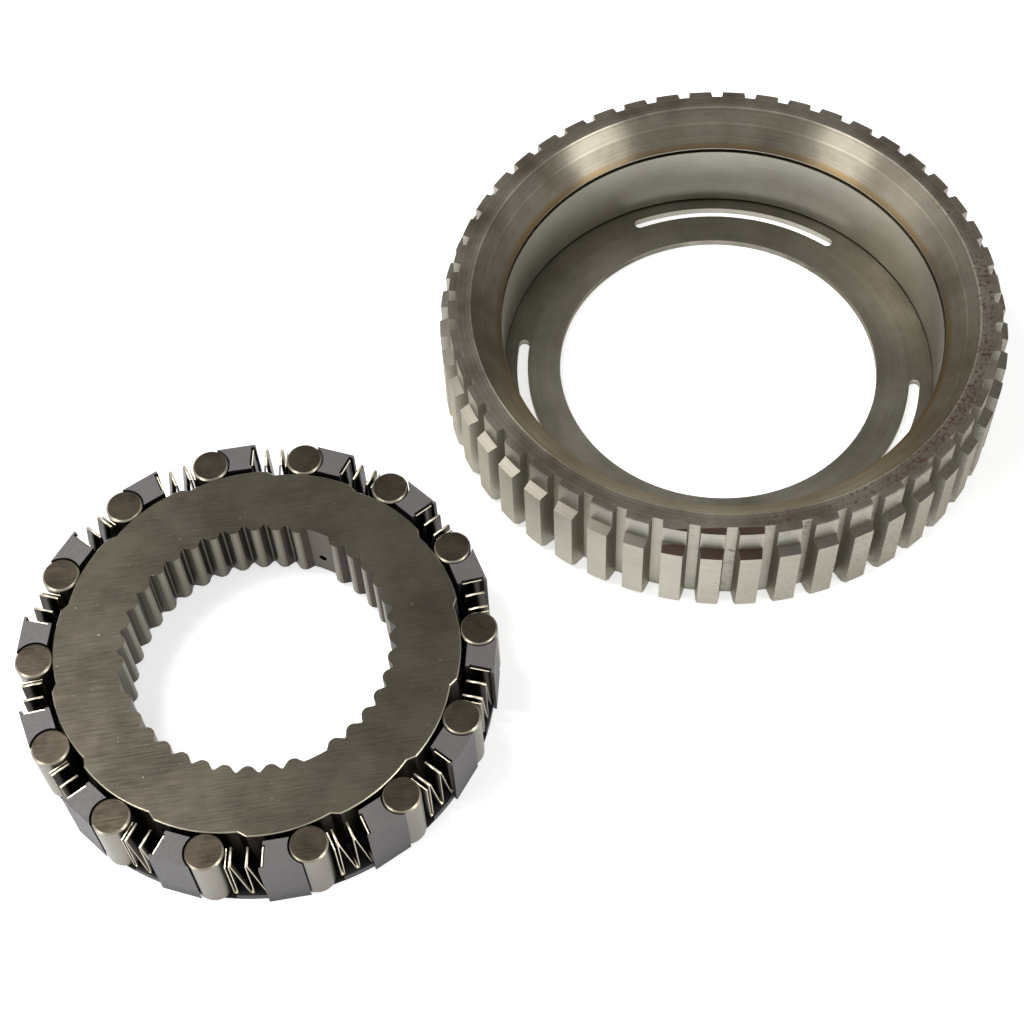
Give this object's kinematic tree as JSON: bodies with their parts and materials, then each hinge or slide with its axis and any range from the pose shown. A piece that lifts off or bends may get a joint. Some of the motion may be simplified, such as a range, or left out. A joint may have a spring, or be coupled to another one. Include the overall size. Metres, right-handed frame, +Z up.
{
  "type": "roller one-way clutch",
  "caption": "Cam-and-roller one-way clutch: splined cam ring with caged, spring-loaded rollers, and its toothed outer race laid flat beside it.",
  "frame": {"origin": "on the cam ring's axis, in the plane that the clutch and its race rest on", "axes": "+Z up along the clutch's axis; +X to the right and +Y away, with the outer race towards +X and +Y"},
  "size_m": [0.2619, 0.2342, 0.0331],
  "materials": {
    "cam_steel": "ground steel with a thin oil film",
    "cage_polymer": "moulded, matte charcoal",
    "roller_steel": "ground rollers, satin sides, duller ends",
    "spring_steel": "cold-rolled ribbon, satin",
    "race_steel": "machined and worn, light surface rust"
  },
  "bodies": {
    "clutch": {"cam_ring": "cam_steel", "roller_cage": "cage_polymer", "spring_01": "spring_steel", "spring_02": "spring_steel", "spring_03": "spring_steel", "spring_04": "spring_steel", "spring_05": "spring_steel", "spring_06": "spring_steel", "spring_07": "spring_steel", "spring_08": "spring_steel", "spring_09": "spring_steel", "spring_10": "spring_steel", "spring_11": "spring_steel", "spring_12": "spring_steel", "spring_13": "spring_steel", "spring_14": "spring_steel"},
    "roller_01": {"roller_01": "roller_steel"},
    "roller_02": {"roller_02": "roller_steel"},
    "roller_03": {"roller_03": "roller_steel"},
    "roller_04": {"roller_04": "roller_steel"},
    "roller_05": {"roller_05": "roller_steel"},
    "roller_06": {"roller_06": "roller_steel"},
    "roller_07": {"roller_07": "roller_steel"},
    "roller_08": {"roller_08": "roller_steel"},
    "roller_09": {"roller_09": "roller_steel"},
    "roller_10": {"roller_10": "roller_steel"},
    "roller_11": {"roller_11": "roller_steel"},
    "roller_12": {"roller_12": "roller_steel"},
    "roller_13": {"roller_13": "roller_steel"},
    "roller_14": {"roller_14": "roller_steel"},
    "outer_race": {"outer_race": "race_steel"}
  },
  "joints": [
    {"name": "roller_01_travel", "type": "hinge", "parent": "clutch", "child": "roller_01", "pos_m": [0.00526, 0.01222, 0.0105], "axis": [0, 0, 1], "range_deg": [0, 2.6], "stiffness_Nm_per_rad": 0.9, "springref_deg": -1.15, "deforming": ["spring_01"]},
    {"name": "roller_02_travel", "type": "hinge", "parent": "clutch", "child": "roller_02", "pos_m": [0.01004, 0.00872, 0.0105], "axis": [0, 0, 1], "range_deg": [0, 2.6], "stiffness_Nm_per_rad": 0.9, "springref_deg": -1.15, "deforming": ["spring_02"]},
    {"name": "roller_03_travel", "type": "hinge", "parent": "clutch", "child": "roller_03", "pos_m": [0.01283, 0.0035, 0.0105], "axis": [0, 0, 1], "range_deg": [0, 2.6], "stiffness_Nm_per_rad": 0.9, "springref_deg": -1.15, "deforming": ["spring_03"]},
    {"name": "roller_04_travel", "type": "hinge", "parent": "clutch", "child": "roller_04", "pos_m": [0.01308, -0.00241, 0.0105], "axis": [0, 0, 1], "range_deg": [0, 2.6], "stiffness_Nm_per_rad": 0.9, "springref_deg": -1.15, "deforming": ["spring_04"]},
    {"name": "roller_05_travel", "type": "hinge", "parent": "clutch", "child": "roller_05", "pos_m": [0.01074, -0.00785, 0.0105], "axis": [0, 0, 1], "range_deg": [0, 2.6], "stiffness_Nm_per_rad": 0.9, "springref_deg": -1.15, "deforming": ["spring_05"]},
    {"name": "roller_06_travel", "type": "hinge", "parent": "clutch", "child": "roller_06", "pos_m": [0.00627, -0.01173, 0.0105], "axis": [0, 0, 1], "range_deg": [0, 2.6], "stiffness_Nm_per_rad": 0.9, "springref_deg": -1.15, "deforming": ["spring_06"]},
    {"name": "roller_07_travel", "type": "hinge", "parent": "clutch", "child": "roller_07", "pos_m": [0.00056, -0.01329, 0.0105], "axis": [0, 0, 1], "range_deg": [0, 2.6], "stiffness_Nm_per_rad": 0.9, "springref_deg": -1.15, "deforming": ["spring_07"]},
    {"name": "roller_08_travel", "type": "hinge", "parent": "clutch", "child": "roller_08", "pos_m": [-0.00526, -0.01222, 0.0105], "axis": [0, 0, 1], "range_deg": [0, 2.6], "stiffness_Nm_per_rad": 0.9, "springref_deg": -1.15, "deforming": ["spring_08"]},
    {"name": "roller_09_travel", "type": "hinge", "parent": "clutch", "child": "roller_09", "pos_m": [-0.01004, -0.00872, 0.0105], "axis": [0, 0, 1], "range_deg": [0, 2.6], "stiffness_Nm_per_rad": 0.9, "springref_deg": -1.15, "deforming": ["spring_09"]},
    {"name": "roller_10_travel", "type": "hinge", "parent": "clutch", "child": "roller_10", "pos_m": [-0.01283, -0.0035, 0.0105], "axis": [0, 0, 1], "range_deg": [0, 2.6], "stiffness_Nm_per_rad": 0.9, "springref_deg": -1.15, "deforming": ["spring_10"]},
    {"name": "roller_11_travel", "type": "hinge", "parent": "clutch", "child": "roller_11", "pos_m": [-0.01308, 0.00241, 0.0105], "axis": [0, 0, 1], "range_deg": [0, 2.6], "stiffness_Nm_per_rad": 0.9, "springref_deg": -1.15, "deforming": ["spring_11"]},
    {"name": "roller_12_travel", "type": "hinge", "parent": "clutch", "child": "roller_12", "pos_m": [-0.01074, 0.00785, 0.0105], "axis": [0, 0, 1], "range_deg": [0, 2.6], "stiffness_Nm_per_rad": 0.9, "springref_deg": -1.15, "deforming": ["spring_12"]},
    {"name": "roller_13_travel", "type": "hinge", "parent": "clutch", "child": "roller_13", "pos_m": [-0.00627, 0.01173, 0.0105], "axis": [0, 0, 1], "range_deg": [0, 2.6], "stiffness_Nm_per_rad": 0.9, "springref_deg": -1.15, "deforming": ["spring_13"]},
    {"name": "roller_14_travel", "type": "hinge", "parent": "clutch", "child": "roller_14", "pos_m": [-0.00056, 0.01329, 0.0105], "axis": [0, 0, 1], "range_deg": [0, 2.6], "stiffness_Nm_per_rad": 0.9, "springref_deg": -1.15, "deforming": ["spring_14"]},
    {"name": "race_turn", "type": "hinge", "parent": "clutch", "child": "outer_race", "pos_m": [0.1234, 0.0961, 0.0105], "axis": [0, 0, 1], "continuous": true}
  ],
  "couplings": [
    {"joint": "roller_02_travel", "follows": "roller_01_travel", "ratio": 1},
    {"joint": "roller_03_travel", "follows": "roller_01_travel", "ratio": 1},
    {"joint": "roller_04_travel", "follows": "roller_01_travel", "ratio": 1},
    {"joint": "roller_05_travel", "follows": "roller_01_travel", "ratio": 1},
    {"joint": "roller_06_travel", "follows": "roller_01_travel", "ratio": 1},
    {"joint": "roller_07_travel", "follows": "roller_01_travel", "ratio": 1},
    {"joint": "roller_08_travel", "follows": "roller_01_travel", "ratio": 1},
    {"joint": "roller_09_travel", "follows": "roller_01_travel", "ratio": 1},
    {"joint": "roller_10_travel", "follows": "roller_01_travel", "ratio": 1},
    {"joint": "roller_11_travel", "follows": "roller_01_travel", "ratio": 1},
    {"joint": "roller_12_travel", "follows": "roller_01_travel", "ratio": 1},
    {"joint": "roller_13_travel", "follows": "roller_01_travel", "ratio": 1},
    {"joint": "roller_14_travel", "follows": "roller_01_travel", "ratio": 1}
  ]
}
